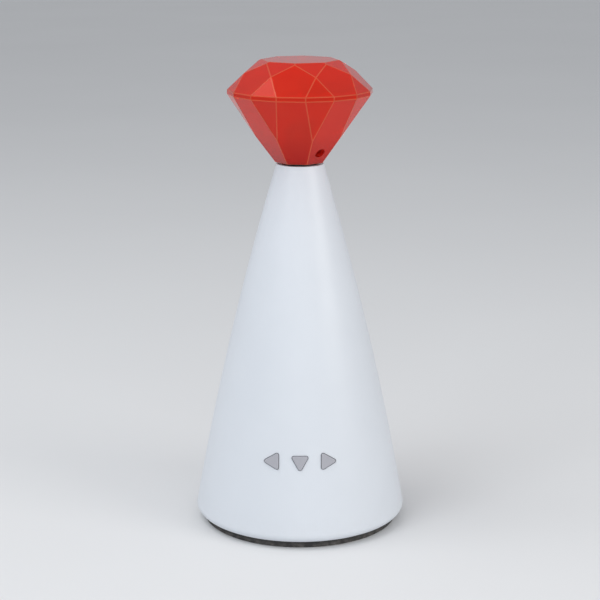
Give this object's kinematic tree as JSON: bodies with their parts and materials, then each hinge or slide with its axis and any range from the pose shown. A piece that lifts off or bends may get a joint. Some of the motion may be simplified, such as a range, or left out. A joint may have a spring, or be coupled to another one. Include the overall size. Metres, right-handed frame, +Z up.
{
  "type": "cat laser toy",
  "caption": "Cone-shaped cat toy with a faceted head that turns and throws a laser spot, mode buttons low on the front and an anti-slip ring under its foot.",
  "frame": {"origin": "on the floor, under the middle of the foot", "axes": "+Z up along the axis of the cone and head, -Y out of the front with the buttons, +X to a viewer's right"},
  "size_m": [0.1, 0.1, 0.22],
  "materials": {
    "white_shell": "satin moulded plastic",
    "red_gem": "polished translucent plastic",
    "grey_button": "matt moulded plastic",
    "dark_rubber": "matt rubber",
    "base_plastic": "matt moulded plastic",
    "steel": "plated steel",
    "brass": "turned brass",
    "nylon": "natural moulded plastic",
    "black_plastic": "matt moulded plastic",
    "board_green": "solder mask",
    "cell_jacket": "plain film over the can",
    "lens_glass": "polished",
    "silvered": "silvered glass"
  },
  "bodies": {
    "tower": {"cone_shell": "white_shell", "base_plate": "base_plastic", "anti_slip_ring": "dark_rubber", "base_screws": "steel", "battery_cells": "cell_jacket", "contact_plates": "steel", "contact_leaves": "steel", "main_board": "board_green", "tact_switches": "black_plastic", "control_chip": "black_plastic", "board_connectors": "nylon", "board_screws": "steel", "gearbox_case": "base_plastic", "gearbox_cover": "base_plastic", "gearbox_screws": "steel", "gear_axles": "steel", "motor_can": "steel", "motor_cap": "black_plastic", "motor_screws": "steel", "laser_module": "brass", "laser_lens": "lens_glass", "laser_driver_board": "board_green", "cover_bush": "brass", "neck_bush": "black_plastic"},
    "head": {"head_bowl": "red_gem", "head_crown": "red_gem", "mirror_carrier": "black_plastic", "mirror": "silvered", "drive_shaft": "nylon", "output_gear": "nylon", "shaft_clip": "steel"},
    "first_gear": {"first_gear": "nylon"},
    "second_gear": {"second_gear": "nylon"},
    "motor_rotor": {"motor_shaft": "steel", "motor_pinion": "brass"},
    "button_left": {"mode_button_left": "grey_button"},
    "button_middle": {"mode_button_middle": "grey_button"},
    "button_right": {"mode_button_right": "grey_button"},
    "battery_door": {"battery_door": "base_plastic", "door_screws": "steel"}
  },
  "joints": [
    {"name": "head_spin", "type": "hinge", "parent": "tower", "child": "head", "pos_m": [0, 0, 0.18], "axis": [0, 0, 1], "continuous": true},
    {"name": "second_gear_spin", "type": "hinge", "parent": "tower", "child": "second_gear", "pos_m": [0.01062, 0.01059, 0.1], "axis": [0, 0, 1], "continuous": true},
    {"name": "first_gear_spin", "type": "hinge", "parent": "tower", "child": "first_gear", "pos_m": [0, 0.015, 0.1], "axis": [0, 0, 1], "continuous": true},
    {"name": "motor_spin", "type": "hinge", "parent": "tower", "child": "motor_rotor", "pos_m": [-0.01062, 0.01059, 0.1], "axis": [0, 0, 1], "continuous": true},
    {"name": "button_left_press", "type": "slide", "parent": "tower", "child": "button_left", "axis": [0, 0.9804, -0.1971], "range_m": [0, 0.0007], "stiffness_N_per_m": 400},
    {"name": "button_middle_press", "type": "slide", "parent": "tower", "child": "button_middle", "axis": [0, 0.9804, -0.1971], "range_m": [0, 0.0007], "stiffness_N_per_m": 400},
    {"name": "button_right_press", "type": "slide", "parent": "tower", "child": "button_right", "axis": [0, 0.9804, -0.1971], "range_m": [0, 0.0007], "stiffness_N_per_m": 400},
    {"name": "battery_door_lift", "type": "slide", "parent": "tower", "child": "battery_door", "axis": [0, 0, -1], "range_m": [0, 0.03]}
  ],
  "couplings": [
    {"joint": "second_gear_spin", "follows": "head_spin", "ratio": -5},
    {"joint": "first_gear_spin", "follows": "head_spin", "ratio": 18},
    {"joint": "motor_spin", "follows": "head_spin", "ratio": -64.8}
  ]
}
